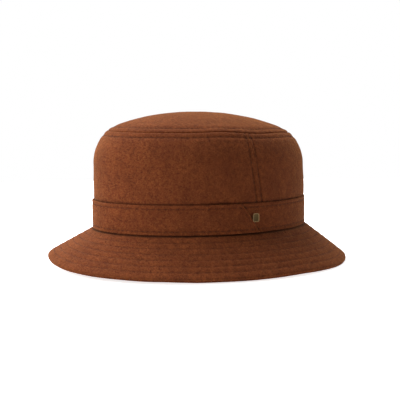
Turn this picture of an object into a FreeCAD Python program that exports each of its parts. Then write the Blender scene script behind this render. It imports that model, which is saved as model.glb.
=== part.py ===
# Wool bucket hat: an oval crown of two side panels and a domed tip, a sewn band
# with a small bare metal badge, a quilted three-layer brim, and a lined inside.
# The frame is in millimetres with +Z up. The front of the hat looks along -Y and
# the wearer's left is +X. The origin lies under the middle of the crown, on the
# surface that the brim's edge rests on.
import FreeCAD
import Part
import math
import os

Vector = FreeCAD.Vector

# Head opening, measured inside the sweatband
head_length = 198.0
head_width = 170.8

# Cloth thicknesses and the air between layers
sweatband_cloth = 1.2
lining_cloth = 0.5
wool_cloth = 2.2
band_cloth = 1.2
interlining_cloth = 0.4
tape_cloth = 0.8
layer_gap = 0.2

# Brim: slant width from the band's foot, slope below level, flat that it rests on
brim_width = 53.0
brim_slope = 38.5
brim_rest_depth = 1.0
brim_edge_bevel = 1.2
brim_interlining_margin = 4.0

# Crown heights above the brim's root, and the curves of its shoulder and tip
seam_height = 88.9
shoulder_radius = 38.5
shoulder_turn = 50.0
tip_rise = 18.4
tip_roundness = 1.6
tip_edge_turn = 84.0
seam_tape_turn = 13.0

# Band round the foot of the crown, and the lap of its two ends on the wearer's left
band_height = 26.5
lap_length = 34.0
lap_end_top = -15.0
lap_end_bottom = 3.5

# Badge held by two prongs through the band and a washer behind it
badge_width = 7.6
badge_height = 9.2
badge_thickness = 1.0
badge_corner = 1.6
badge_border = 0.9
badge_centre_y = -0.6
prong_width = 1.2
prong_thickness = 0.6
prong_spacing = 4.4
prong_clearance = 0.15
washer_thickness = 0.5
washer_margin = 0.6

# Lining hangs a little clear of the shoulder
lining_drop = 1.2
lining_straight_top = 38.0

# Sweatband and the blank tab sewn over its top edge at the back
sweatband_height = 33.0
tab_width = 24.0
tab_length = 24.0
tab_thickness = 0.6
tab_gap = 0.3

# Rows of stitching
thread_width = 0.7
thread_height = 0.5
thread_gap = 0.05
brim_row_spacing = 6.87
brim_row_count = 6
brim_row_edge = 9.2
band_row_margin = 3.5
seam_row_margin = 6.0
side_row_margin = 4.6
sweatband_row_margin = 2.5

curve_sections = 6
slope = math.radians(brim_slope)
turn = math.radians(shoulder_turn)

# Layers stacked outwards from the head, each as (inner, outer) offsets
sweatband_layer = (0.0, sweatband_cloth)
lining_inner = sweatband_layer[1] + layer_gap
wall_inner = lining_inner + lining_cloth + layer_gap
wall_outer = wall_inner + wool_cloth
band_inner = wall_outer + layer_gap
band_outer = band_inner + band_cloth

# The brim's layers, each as (upper, lower) depths square to its slope
brim_top_layer = (0.0, wool_cloth)
interlining_top = wool_cloth + layer_gap
interlining_layer = (interlining_top, interlining_top + interlining_cloth)
under_top = interlining_layer[1] + layer_gap
brim_under_layer = (under_top, under_top + wool_cloth)
brim_depth = brim_under_layer[1]

# Heights that follow from the brim
root_z = brim_width * math.sin(slope) + brim_depth * math.cos(slope) - brim_rest_depth
seam_z = root_z + seam_height
shoulder_z = seam_z - shoulder_radius * math.sin(turn)
band_top_z = root_z + band_height

# The tip's rim, just inside the seam, and the curve that rises from it
seam_out = wall_outer - shoulder_radius * (1.0 - math.cos(turn))
tip_half_x = head_width / 2.0 + seam_out - layer_gap
tip_half_y = head_length / 2.0 + seam_out - layer_gap
tip_turn = math.radians(tip_edge_turn)
tip_edge_radius = tip_half_x / math.sin(tip_turn)
tip_edge_drop = math.cos(tip_turn) ** tip_roundness
tip_full_rise = tip_rise / (1.0 - tip_edge_drop)


def oval(out, z):
    """The head's oval, let out by a distance all round, as a level wire."""
    half_x = head_width / 2.0 + out
    half_y = head_length / 2.0 + out
    centre = Vector(0, 0, z)
    edge = Part.Ellipse(centre, max(half_x, half_y), min(half_x, half_y)).toShape()
    if half_y > half_x:
        edge.rotate(centre, Vector(0, 0, 1), 90)
    return Part.Wire([edge])


def oval_point(out, y):
    """The place on the wearer's left where an oval passes a given y."""
    half_x = head_width / 2.0 + out
    half_y = head_length / 2.0 + out
    return half_x * math.sqrt(1.0 - (y / half_y) ** 2)


def ring(*runs):
    """A closed band of cloth round the head. Each run is a list of (out, z) points:
    two points make a straight face, more make one smooth face, and the last run
    ends where the first one starts."""
    faces = []
    for run in runs:
        wires = [oval(out, z) for out, z in run]
        faces += Part.makeLoft(wires, False, len(run) == 2).Faces
    shell = Part.Shell(faces)
    shell.sewShape()
    solid = Part.Solid(Part.Shell(shell.Faces))
    if solid.Volume < 0:
        solid.reverse()
    return solid


def straight_ring(corners):
    """A ring whose section has only straight sides."""
    following = corners[1:] + corners[:1]
    return ring(*[[first, second] for first, second in zip(corners, following)])


def cut_half(shape, front):
    """The front or the back half of a ring, cut at the side seams."""
    reach = head_length
    box = Part.makeBox(2 * reach, reach, 2 * reach)
    start_y = -reach - layer_gap / 2.0 if front else layer_gap / 2.0
    box.translate(Vector(-reach, start_y, -reach / 2.0))
    return shape.common(box)


def shoulder_point(depth, angle):
    """A point of the crown's shoulder, a depth inside its outer face."""
    radius = shoulder_radius - depth
    centre_out = wall_outer - shoulder_radius
    return (centre_out + radius * math.cos(angle), shoulder_z + radius * math.sin(angle))


def shoulder_arc(depth, start, end):
    """Evenly spaced points along the shoulder between two angles."""
    step = (end - start) / (curve_sections - 1)
    return [shoulder_point(depth, start + step * i) for i in range(curve_sections)]


def brim_surface_z(out, lift):
    """Height of the brim's upper face at an offset, raised by a lift."""
    return root_z + (band_outer - out) * math.tan(slope) + lift


def brim_point(along, depth):
    """A point of the brim, along its slope from the band's foot and below its face."""
    out = band_outer + along * math.cos(slope) - depth * math.sin(slope)
    z = root_z - along * math.sin(slope) - depth * math.cos(slope)
    return (out, z)


def side_panel_ring():
    """Both side panels as one ring, from the brim up to the tip seam."""
    inner_out = wall_outer - wool_cloth
    outer_foot = (wall_outer, brim_surface_z(wall_outer, layer_gap))
    inner_foot = (inner_out, brim_surface_z(inner_out, layer_gap))
    outer_arc = shoulder_arc(0.0, 0.0, turn)
    inner_arc = shoulder_arc(wool_cloth, turn, 0.0)
    return ring(
        [outer_foot, outer_arc[0]],
        outer_arc,
        [outer_arc[-1], inner_arc[0]],
        inner_arc,
        [inner_arc[-1], inner_foot],
        [inner_foot, outer_foot],
    )


def lining_side_ring():
    """The lining's wall, close to the cloth below and hanging clear at the shoulder."""
    far = wool_cloth + layer_gap
    near = far + lining_cloth
    outer = wall_outer - far
    inner = wall_outer - near
    straight_z = root_z + lining_straight_top
    outer_foot = (outer, brim_surface_z(outer, layer_gap))
    inner_foot = (inner, brim_surface_z(inner, layer_gap))
    outer_arc = shoulder_arc(far + lining_drop, 0.0, turn)
    inner_arc = shoulder_arc(near + lining_drop, turn, 0.0)
    return ring(
        [outer_foot, (outer, straight_z)],
        [(outer, straight_z), outer_arc[0]],
        outer_arc,
        [outer_arc[-1], inner_arc[0]],
        inner_arc,
        [inner_arc[-1], (inner, straight_z)],
        [(inner, straight_z), inner_foot],
        [inner_foot, outer_foot],
    )


def tip_point(angle, inside):
    """A point of the tip's section, moved inwards square to its curve."""
    round_z = tip_full_rise * (math.cos(angle) ** tip_roundness - tip_edge_drop)
    across = tip_edge_radius * math.cos(angle)
    steepness = tip_roundness * math.cos(angle) ** (tip_roundness - 1.0)
    fall = tip_full_rise * steepness * math.sin(angle)
    size = math.hypot(across, fall)
    r = tip_edge_radius * math.sin(angle) - inside * fall / size
    return Vector(r, 0, seam_z + layer_gap + round_z - inside * across / size)


def spin_to_oval(section):
    """A section spun about the middle and drawn out to the tip's oval."""
    spun = Part.Face(section).revolve(Vector(0, 0, 0), Vector(0, 0, 1), 360)
    stretch = FreeCAD.Matrix()
    stretch.scale(1.0, tip_half_y / tip_half_x, 1.0)
    return spun.transformGeometry(stretch)


def tip_dome(depth, thickness):
    """A domed oval panel, its upper face a depth inside the crown's outer face."""
    count = 2 * curve_sections
    angles = [tip_turn * i / count for i in range(count + 1)]
    outer_points = [tip_point(angle, depth) for angle in angles]
    inner_points = [tip_point(angle, depth + thickness) for angle in angles]
    outer_curve = Part.BSplineCurve()
    outer_curve.interpolate(outer_points)
    inner_curve = Part.BSplineCurve()
    inner_curve.interpolate(inner_points)
    return spin_to_oval(Part.Wire([
        outer_curve.toShape(),
        Part.makeLine(outer_points[-1], inner_points[-1]),
        inner_curve.toShape(),
        Part.makeLine(inner_points[0], outer_points[0]),
    ]))


def brim_layer(layer, margin, bevel_top):
    """One layer of the brim, from the head opening out to its edge."""
    upper, lower = layer
    end = brim_width - margin
    inner_z = brim_surface_z(0.0, 0.0)
    corners = [(0.0, inner_z - upper / math.cos(slope))]
    if bevel_top:
        corners.append(brim_point(end - brim_edge_bevel, upper))
        corners.append(brim_point(end, upper + brim_edge_bevel))
    else:
        corners.append(brim_point(end, upper))
    corners.append(brim_point(end, lower))
    corners.append((0.0, inner_z - lower / math.cos(slope)))
    return straight_ring(corners)


def brim_under():
    """The lower layer, pressed flat where the brim's edge rests."""
    reach = head_length + brim_width
    layer = brim_layer(brim_under_layer, 0.0, False)
    ground = Part.makeBox(2 * reach, 2 * reach, reach)
    ground.translate(Vector(-reach, -reach, -reach))
    return layer.cut(ground)


def lap_prism():
    """The space of the band's upper end: square at its start, slanted at its end."""
    foot_z = root_z - band_height
    slant = (lap_end_bottom - lap_end_top) / band_height
    low_end_y = lap_end_bottom + slant * band_height
    outline = [
        Vector(0, lap_end_top - lap_length, foot_z),
        Vector(0, low_end_y, foot_z),
        Vector(0, lap_end_top, band_top_z),
        Vector(0, lap_end_top - lap_length, band_top_z),
    ]
    face = Part.Face(Part.makePolygon(outline + outline[:1]))
    return face.extrude(Vector(head_width, 0, 0))


def band_strip(inner, outer, lift):
    """A ring that stands on the brim and is as high as the band."""
    return straight_ring([
        (outer, brim_surface_z(outer, lift)),
        (outer, band_top_z),
        (inner, band_top_z),
        (inner, brim_surface_z(inner, lift)),
    ])


def badge_x():
    """How far out the band's lap holds the badge's back."""
    return oval_point(band_outer + band_cloth, badge_centre_y) + layer_gap


def prong_positions():
    """Heights of the two prongs, above and below the badge's middle."""
    middle = root_z + band_height / 2.0
    return [middle - prong_spacing / 2.0, middle + prong_spacing / 2.0]


def badge_prongs(clearance):
    """The two flat prongs, or the slots that pass them when given a clearance."""
    start = badge_x() - band_cloth * 2 - layer_gap - washer_thickness - layer_gap
    length = badge_x() - start
    prongs = []
    for z in prong_positions():
        wide = prong_width + 2 * clearance
        thick = prong_thickness + 2 * clearance
        prong = Part.makeBox(length, wide, thick)
        prong.translate(Vector(start, badge_centre_y - wide / 2.0, z - thick / 2.0))
        prongs.append(prong)
    return prongs


def rounded_plate(x, thickness, width, height, corner):
    """An upright plate with rounded corners, facing the wearer's left."""
    middle = root_z + band_height / 2.0
    plate = Part.makeBox(thickness, width, height)
    plate.translate(Vector(x, badge_centre_y - width / 2.0, middle - height / 2.0))
    edges = [edge for edge in plate.Edges if abs(edge.tangentAt(edge.FirstParameter).x) > 0.99]
    return plate.makeFillet(corner, edges)


def badge():
    """A bare plate with a raised border and two prongs behind it."""
    plate = rounded_plate(badge_x(), badge_thickness, badge_width, badge_height, badge_corner)
    floor_x = badge_x() + badge_thickness / 2.0
    field_width = badge_width - 2 * badge_border
    field_height = badge_height - 2 * badge_border
    field_corner = badge_corner - badge_border
    field = rounded_plate(floor_x, badge_thickness, field_width, field_height, field_corner)
    plate = plate.cut(field)
    for prong in badge_prongs(0.0):
        plate = plate.fuse(prong)
    return plate.removeSplitter()


def badge_washer():
    """The plate behind the band that the prongs pass through."""
    x = badge_x() - layer_gap - band_cloth * 2 - layer_gap - washer_thickness
    width = badge_width - 2 * washer_margin
    height = badge_height - 2 * washer_margin
    washer = rounded_plate(x, washer_thickness, width, height, badge_corner - washer_margin)
    for slot in badge_prongs(prong_clearance):
        washer = washer.cut(slot)
    return washer


def washer_pocket():
    """The hollow that the washer and prong ends press into the crown's cloth."""
    depth = layer_gap + washer_thickness + 2 * layer_gap
    x = badge_x() - layer_gap - band_cloth * 2 - depth
    return rounded_plate(x, depth + band_cloth / 2.0, badge_width, badge_height, badge_corner)


def hat_band():
    """The band: one strip whose upper end laps over its lower end."""
    strip = band_strip(band_inner, band_outer, layer_gap)
    lap = band_strip(band_inner, band_outer + band_cloth, layer_gap).common(lap_prism())
    strip = strip.fuse(lap)
    for slot in badge_prongs(prong_clearance):
        strip = strip.cut(slot)
    return strip.cut(washer_pocket())


def seam_tape():
    """The tape that covers the raw edge of the tip seam inside the shoulder."""
    far = wool_cloth + layer_gap
    start = turn - math.radians(seam_tape_turn)
    outer_arc = shoulder_arc(far, start, turn)
    inner_arc = shoulder_arc(far + tape_cloth, turn, start)
    return ring(outer_arc, [outer_arc[-1], inner_arc[0]], inner_arc, [inner_arc[-1], outer_arc[0]])


def sweatband():
    """The folded cotton band that touches the head."""
    inner, outer = sweatband_layer
    top_z = root_z + sweatband_height
    return straight_ring([
        (outer, brim_surface_z(outer, layer_gap)),
        (outer, top_z),
        (inner, top_z),
        (inner, brim_surface_z(inner, layer_gap)),
    ])


def size_tab():
    """A blank woven tab that hangs from the sweatband's top edge at the back."""
    back_y = head_length / 2.0 * math.sqrt(1.0 - (tab_width / head_width) ** 2) - tab_gap
    top_z = root_z + sweatband_height
    tab = Part.makeBox(tab_width, tab_thickness, tab_length)
    tab.translate(Vector(-tab_width / 2.0, back_y - tab_thickness, top_z - tab_length))
    return tab


def square_thread(place, along):
    """A ring of thread on a surface that falls outwards along a unit direction."""
    out, z = place
    across_out, across_z = along
    up_out, up_z = -across_z, across_out
    corners = []
    for side, lift in ((-1, 0), (1, 0), (1, 1), (-1, 1)):
        shift = side * thread_width / 2.0
        height = thread_gap + lift * thread_height
        corner_out = out + shift * across_out + height * up_out
        corners.append((corner_out, z + shift * across_z + height * up_z))
    return straight_ring(corners)


def brim_stitches():
    """Rows of stitching that quilt the brim's layers together."""
    along = (math.cos(slope), -math.sin(slope))
    rows = []
    for i in range(brim_row_count):
        place = brim_point(brim_width - brim_row_edge - i * brim_row_spacing, 0.0)
        rows.append(square_thread(place, along))
    return Part.makeCompound(rows)


def band_stitches():
    """A row along the band's upper edge and one along its lower edge."""
    clear_of_lap = lap_prism()
    rows = []
    for z in (root_z + band_row_margin, band_top_z - band_row_margin):
        low_row = square_thread((band_outer, z), (0.0, -1.0)).cut(clear_of_lap)
        lap_row = square_thread((band_outer + band_cloth, z), (0.0, -1.0)).common(clear_of_lap)
        rows += [low_row, lap_row]
    return Part.makeCompound(rows)


def tip_seam_stitches():
    """A row on each side of the tip seam: one round the tip, one round the shoulder."""
    angle = turn - seam_row_margin / shoulder_radius
    along = (math.sin(angle), -math.cos(angle))
    lower_row = square_thread(shoulder_point(0.0, angle), along)
    reach = (seam_row_margin - thread_width / 2.0, seam_row_margin + thread_width / 2.0)
    turns = [math.asin((tip_half_x - distance) / tip_edge_radius) for distance in reach]
    corners = [
        tip_point(turns[0], -thread_gap),
        tip_point(turns[1], -thread_gap),
        tip_point(turns[1], -thread_gap - thread_height),
        tip_point(turns[0], -thread_gap - thread_height),
    ]
    upper_row = spin_to_oval(Part.makePolygon(corners + corners[:1]))
    return Part.makeCompound([lower_row, upper_row])


def side_seam_stitches():
    """Two upright rows beside each side seam, from the band to the shoulder."""
    top_turn = turn - 2 * seam_row_margin / shoulder_radius
    outer_arc = shoulder_arc(-thread_gap - thread_height, 0.0, top_turn)
    inner_arc = shoulder_arc(-thread_gap, top_turn, 0.0)
    foot_z = band_top_z + layer_gap
    skin = ring(
        [(wall_outer + thread_gap + thread_height, foot_z), outer_arc[0]],
        outer_arc,
        [outer_arc[-1], inner_arc[0]],
        inner_arc,
        [inner_arc[-1], (wall_outer + thread_gap, foot_z)],
        [(wall_outer + thread_gap, foot_z), (wall_outer + thread_gap + thread_height, foot_z)],
    )
    slabs = []
    for y in (-side_row_margin, side_row_margin):
        slab = Part.makeBox(2 * head_length, thread_width, seam_z)
        slab.translate(Vector(-head_length, y - thread_width / 2.0, 0))
        slabs.append(slab)
    return skin.common(Part.makeCompound(slabs))


def sweatband_stitches():
    """The row that sews the sweatband's foot into the hat, seen from inside."""
    z = brim_surface_z(0.0, layer_gap) + sweatband_row_margin
    half = thread_width / 2.0
    return straight_ring([
        (-thread_gap, z - half),
        (-thread_gap, z + half),
        (-thread_gap - thread_height, z + half),
        (-thread_gap - thread_height, z - half),
    ])


side_panels = side_panel_ring().cut(washer_pocket())
lining_sides = lining_side_ring()

parts = {
    "tip_panel": tip_dome(0.0, wool_cloth),
    "side_panel_front": cut_half(side_panels, True),
    "side_panel_back": cut_half(side_panels, False),
    "tip_seam_tape": seam_tape(),
    "lining_tip": tip_dome(wool_cloth + layer_gap + lining_drop, lining_cloth),
    "lining_side_front": cut_half(lining_sides, True),
    "lining_side_back": cut_half(lining_sides, False),
    "sweatband": sweatband(),
    "size_tab": size_tab(),
    "hat_band": hat_band(),
    "badge": badge(),
    "badge_washer": badge_washer(),
    "brim_top": brim_layer(brim_top_layer, 0.0, True),
    "brim_interlining": brim_layer(interlining_layer, brim_interlining_margin, False),
    "brim_under": brim_under(),
    "brim_stitches": brim_stitches(),
    "band_stitches": band_stitches(),
    "tip_seam_stitches": tip_seam_stitches(),
    "side_seam_stitches": side_seam_stitches(),
    "sweatband_stitches": sweatband_stitches(),
}

os.makedirs("parts", exist_ok=True)
for name, shape in parts.items():
    shape.exportStep(os.path.join("parts", name + ".step"))
    print(name, "valid", shape.isValid(), "solids", len(shape.Solids), "volume", round(shape.Volume, 1))
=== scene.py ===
import math

import bmesh
import bpy
from mathutils import Matrix, Vector, noise


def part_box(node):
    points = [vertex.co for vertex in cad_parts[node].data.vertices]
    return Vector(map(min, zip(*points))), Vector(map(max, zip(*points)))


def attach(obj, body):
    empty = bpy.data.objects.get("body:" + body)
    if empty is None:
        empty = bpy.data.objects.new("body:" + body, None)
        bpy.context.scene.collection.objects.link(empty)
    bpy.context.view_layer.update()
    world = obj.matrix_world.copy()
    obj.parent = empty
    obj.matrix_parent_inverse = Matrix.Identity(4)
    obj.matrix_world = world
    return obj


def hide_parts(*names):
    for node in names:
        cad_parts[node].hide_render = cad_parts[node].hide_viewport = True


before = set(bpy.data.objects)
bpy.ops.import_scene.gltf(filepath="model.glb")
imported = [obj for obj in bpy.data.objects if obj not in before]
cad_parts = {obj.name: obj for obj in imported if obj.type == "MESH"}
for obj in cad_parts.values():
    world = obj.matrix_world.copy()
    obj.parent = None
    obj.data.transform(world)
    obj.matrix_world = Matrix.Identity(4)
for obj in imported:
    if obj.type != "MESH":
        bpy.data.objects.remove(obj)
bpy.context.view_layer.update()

# Crown wall: two panels of fulled wool melton, 2.2 mm thick, cut from flat cloth and
# sewn together at the wearer's left and right. Steam over a block has turned their
# upper edges in to a soft shoulder, and fulling has closed the nap over the weave.
MM = 0.001
wool_thickness = 2.2 * MM
wall_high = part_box("side_panel_back")[1]
half_wide = wall_high[0]
half_long = wall_high[1]
seam_z = wall_high[2]
band_high_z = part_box("hat_band")[1][2]
band_height = 26.5 * MM
root_z = band_high_z - band_height
wall_foot_rise = 1.4 * MM
wall_foot_z = root_z + wall_foot_rise
shoulder_radius = 38.5 * MM
shoulder_turn = math.radians(50.0)
shoulder_z = seam_z - shoulder_radius * math.sin(shoulder_turn)
wall_straight = shoulder_z - wall_foot_z
wall_run = wall_straight + shoulder_radius * shoulder_turn
seam_row = 6.0 * MM
side_row = 2.9 * MM
side_arc = half_long * 0.98
groove_depth = 0.62 * MM
groove_width = 1.15 * MM
side_groove_width = 0.95 * MM
wool_edge = 1.05 * MM
hidden_edge = 0.3 * MM
panel_clearance = 0.12 * MM
side_seam_lean = math.radians(2.6)
side_seam_swing = math.radians(4.0)
crown_sag = 2.0 * MM
sag_side = math.radians(57.0)
sag_fold_turn = 0.7
ring_steps = 440
step_crowding = 0.6
corner_steps = 4

# Lines across the cloth, each with its place, height and width in mm, and lumps in it,
# each with its height and size in mm and a seed.
band_swell = ((10.0, 0.25, 14.0),)
sag_fold = ((8.0, 0.9, 15.0),)
wall_lumps = ((0.55, 46.0, 3.1),)
seam_puffs = ((3.0, 0.28, 2.2), (10.0, 0.22, 3.0))
side_puffs = ((1.2, 0.15, 0.8), (side_row / MM + 3.0, 0.15, 2.0))
band_pinch = ((0.3, -0.6, 1.1),)
wall_nap = ((0.16, 9.0, 7.7), (0.07, 3.2, 1.3))


def soft_noise(point, size, seed):
    """Smooth noise from -1 to 1 whose lumps are about as large as the size given."""
    return noise.noise(Vector(point) / size + Vector((seed, seed * 0.7, -seed)))


def dip(distance, width):
    """A soft groove's depth, from 1 on its line to 0 a few widths away."""
    return math.exp(-((distance / width) ** 2))


def ridges(distance, lines):
    """The height at a distance across the cloth's raised and sunk lines."""
    return sum(height * MM * dip(distance - place * MM, width * MM)
               for place, height, width in lines)


def lumps(place, layers):
    """The height of the cloth's lumps at a place."""
    return sum(height * MM * soft_noise(place, size * MM, seed)
               for height, size, seed in layers)


def strip_outline(start, end, upper, lower, rounds, spacing):
    """A cloth layer cut across: points along it and down through its thickness.
    The rounds are the radii of its four corners, from the start's upper one on."""
    corners = [
        (start + rounds[0], upper + rounds[0], rounds[0], 180.0),
        (end - rounds[1], upper + rounds[1], rounds[1], 270.0),
        (end - rounds[2], lower - rounds[2], rounds[2], 0.0),
        (start + rounds[3], lower - rounds[3], rounds[3], 90.0),
    ]
    points = []
    for index, (run, depth, radius, first) in enumerate(corners):
        arc_steps = corner_steps if radius > 0.0 else 0
        for step in range(arc_steps + 1):
            angle = math.radians(first + 90.0 * step / max(arc_steps, 1))
            points.append((run + radius * math.cos(angle), depth + radius * math.sin(angle)))
        gap = spacing[0] if index == 0 else spacing[1]
        if index in (0, 2):
            next_run, _, next_radius, next_first = corners[(index + 1) % 4]
            next_angle = math.radians(next_first)
            last_run = points[-1][0]
            goal_run = next_run + next_radius * math.cos(next_angle)
            pieces = max(1, round(abs(goal_run - last_run) / gap))
            for piece in range(1, pieces):
                points.append((last_run + (goal_run - last_run) * piece / pieces, points[-1][1]))
    return points


def lay_strip(outline, start, sweep, steps):
    """Draw a strip's outline out to its full length, still flat: x holds the angle round
    the hat, y the depth below the cloth's face and z the run along it."""
    bm = bmesh.new()
    section = bm.faces.new([bm.verts.new((start, depth, run)) for run, depth in outline])
    drawn = bmesh.ops.extrude_face_region(bm, geom=[section], use_keep_orig=True)["geom"]
    far = [item for item in drawn if isinstance(item, bmesh.types.BMVert)]
    bmesh.ops.translate(bm, verts=far, vec=(sweep, 0.0, 0.0))
    long_edges = [edge for edge in bm.edges
                  if abs(edge.verts[0].co.x - edge.verts[1].co.x) > 0.5 * sweep]
    if abs(sweep - math.tau) < 1e-6:
        ends = [face for face in bm.faces if len(face.verts) > 4]
        bmesh.ops.delete(bm, geom=ends, context="FACES_ONLY")
    bmesh.ops.subdivide_edges(bm, edges=long_edges, cuts=steps - 1, use_grid_fill=True)
    return bm


def puckers(angle, pitch):
    """A wave round the hat, whose crests are about a pitch apart and meet up."""
    return math.sin(angle * round(math.tau * half_long / pitch))


def surface_normal(face_point, angle, run):
    """A point of a cloth's face and the normal there, which points away from the head."""
    step = 0.5 * MM
    here = face_point(angle, run)
    start = here if abs(run) > step else face_point(angle, step)
    start_run = run if start is here else step
    along = face_point(angle + 1.5 * step / half_long, start_run) - start
    across = face_point(angle, start_run + step) - start
    normal = along.cross(across).normalized()
    return here, normal if normal.dot(here) > 0.0 else -normal


def wrap_cloth(bm, face_point, relief, meets_in_middle=False):
    """Lay a flat strip on the hat: each point goes to its place on the cloth's face,
    then down by its depth and out by the relief at that place."""
    nap_height = bm.verts.layers.float.new("nap_height")
    for vert in bm.verts:
        angle, depth, run = vert.co
        angle -= step_crowding * math.sin(2.0 * angle) / 2.0
        if meets_in_middle and run < 0.1 * MM:
            angle = 0.0
        here, normal = surface_normal(face_point, angle, run)
        height = relief(angle, run, depth)
        vert[nap_height] = height / MM
        vert.co = here + normal * (height - depth)


def finish_piece(bm, name, material, nodes, body="hat"):
    """Turn a mesh into a piece that rides on its body in place of its CAD nodes."""
    bmesh.ops.remove_doubles(bm, verts=bm.verts[:], dist=1e-6)
    bmesh.ops.recalc_face_normals(bm, faces=bm.faces[:])
    mesh = bpy.data.meshes.new(name)
    bm.to_mesh(mesh)
    bm.free()
    mesh.polygons.foreach_set("use_smooth", [True] * len(mesh.polygons))
    mesh.materials.append(material)
    piece = bpy.data.objects.new(name, mesh)
    bpy.context.scene.collection.objects.link(piece)
    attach(piece, body)
    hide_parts(*nodes)
    return piece


def wall_softness(angle, height):
    """How far the steamed wall swells or sinks, as soft cloth does off the block."""
    place = (math.cos(angle) * half_wide, math.sin(angle) * half_long, height)
    above_band = height - band_high_z
    from_sag = math.remainder(angle - sag_side, math.tau)
    swell = ridges(above_band, band_swell)
    swell += dip(from_sag, sag_fold_turn) * ridges(above_band, sag_fold)
    return swell + lumps(place, wall_lumps)


def wall_point(angle, run):
    """A point of the wall's outer face, a run up from its foot."""
    if run < wall_straight:
        out = 0.0
        z = wall_foot_z + run
    else:
        turned = (run - wall_straight) / shoulder_radius
        out = -shoulder_radius * (1.0 - math.cos(turned))
        z = shoulder_z + shoulder_radius * math.sin(turned)
    out += wall_softness(angle, z) * min(1.0, (wall_run - run) / (20.0 * MM))
    below = (shoulder_z - z) / (shoulder_z - band_high_z)
    lean = side_seam_lean * below + side_seam_swing * min(0.0, below) ** 2
    angle += lean * max(0.0, math.cos(angle)) ** 2
    share = max(0.0, run - wall_straight) / (wall_run - wall_straight)
    height = max(0.0, (z - band_high_z) / (seam_z - band_high_z))
    settle = seam_settle(angle) * share - crown_sag * math.cos(angle - sag_side) * height
    return Vector(((half_wide + out) * math.cos(angle),
                   (half_long + out) * math.sin(angle), z + settle))


def seam_settle(angle):
    """The tip seam's small rise and fall round the crown."""
    turned = math.remainder(angle, math.tau)
    rise = 0.9 * MM * dip(turned + math.radians(15.0), math.radians(12.0))
    fall = 0.9 * MM * dip(turned - math.radians(10.0), math.radians(14.0))
    return rise - fall + 0.5 * MM * math.sin(2.0 * angle + 0.8)


def side_distance(angle):
    """Distance along the wall from the nearer side seam."""
    return abs(math.remainder(angle, math.pi)) * side_arc


def wall_relief(angle, run, depth):
    """Grooves at the rows of stitching, puffs over the seam allowances, and the nap."""
    face = max(0.0, 1.0 - depth / wool_thickness)
    if face == 0.0:
        return 0.0
    below_seam = wall_run - run
    beside = side_distance(angle)
    pucker = 0.75 + 0.25 * puckers(angle, 6.5 * MM)
    upright_pucker = 0.75 + 0.25 * math.sin(run / (6.0 * MM) * math.tau)
    height = ridges(below_seam, seam_puffs) + ridges(beside, side_puffs)
    height -= groove_depth * dip(below_seam - seam_row, groove_width) * pucker
    height -= groove_depth * dip(beside - side_row, side_groove_width) * upright_pucker
    height += ridges(wall_foot_z + run - band_high_z, band_pinch)
    return face * (height + lumps(wall_point(angle, run), wall_nap))


def linear(code):
    """An sRGB hex colour as the linear RGBA that a shader takes."""
    channels = [int(code[i:i + 2], 16) / 255.0 for i in (1, 3, 5)]
    return [c / 12.92 if c <= 0.04045 else ((c + 0.055) / 1.055) ** 2.4 for c in channels] + [1.0]


def add_node(tree, kind, options, inputs):
    """Add a node, set its options, and set or link its inputs."""
    node = tree.nodes.new(kind)
    for name, value in options.items():
        setattr(node, name, value)
    for key, value in inputs.items():
        if isinstance(value, bpy.types.NodeSocket):
            tree.links.new(value, node.inputs[key])
        else:
            node.inputs[key].default_value = value
    return node


def new_material(name):
    """An empty node material."""
    material = bpy.data.materials.new(name)
    material.use_nodes = True
    material.node_tree.nodes.clear()
    return material, material.node_tree


def finish_surface(tree, colour, settings, relief=None):
    """End a material in one shader, with its relief as bump: a height, the strength
    and the distance."""
    inputs = {"Base Color": colour, **settings}
    if relief:
        inputs["Normal"] = add_node(tree, "ShaderNodeBump", {}, {
            "Height": relief[0], "Strength": relief[1], "Distance": relief[2],
        }).outputs["Normal"]
    shader = add_node(tree, "ShaderNodeBsdfPrincipled", {}, inputs)
    add_node(tree, "ShaderNodeOutputMaterial", {}, {"Surface": shader.outputs["BSDF"]})


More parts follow.
